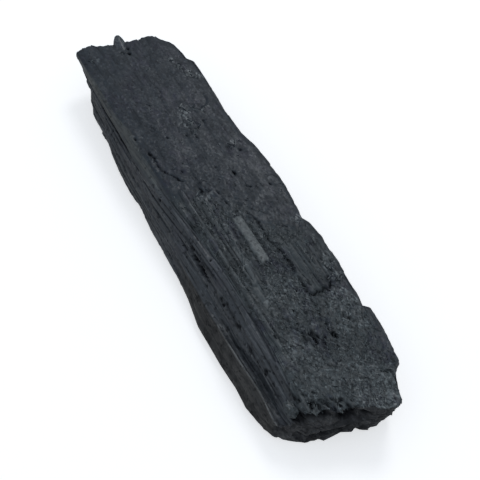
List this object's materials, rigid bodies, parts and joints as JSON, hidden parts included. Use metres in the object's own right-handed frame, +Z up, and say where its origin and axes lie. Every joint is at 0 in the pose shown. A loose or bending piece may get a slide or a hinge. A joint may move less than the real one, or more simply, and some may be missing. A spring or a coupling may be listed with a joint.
{
  "type": "tourmaline crystal",
  "caption": "Raw black tourmaline log, a flat-topped mass of parallel columns with a striated flank and broken ends, lying on its broad underside.",
  "frame": {"origin": "middle of the log's box on the surface that it lies on", "axes": "+X along the columns to the rough near end, +Y to the plain right flank, +Z up through the flat weathered top"},
  "size_m": [0.114, 0.0314, 0.0128],
  "materials": {
    "black_tourmaline": "satin to rough black crystal, finely striated along its length"
  },
  "bodies": {
    "root": {"tourmaline_crystal": "black_tourmaline"}
  },
  "joints": []
}
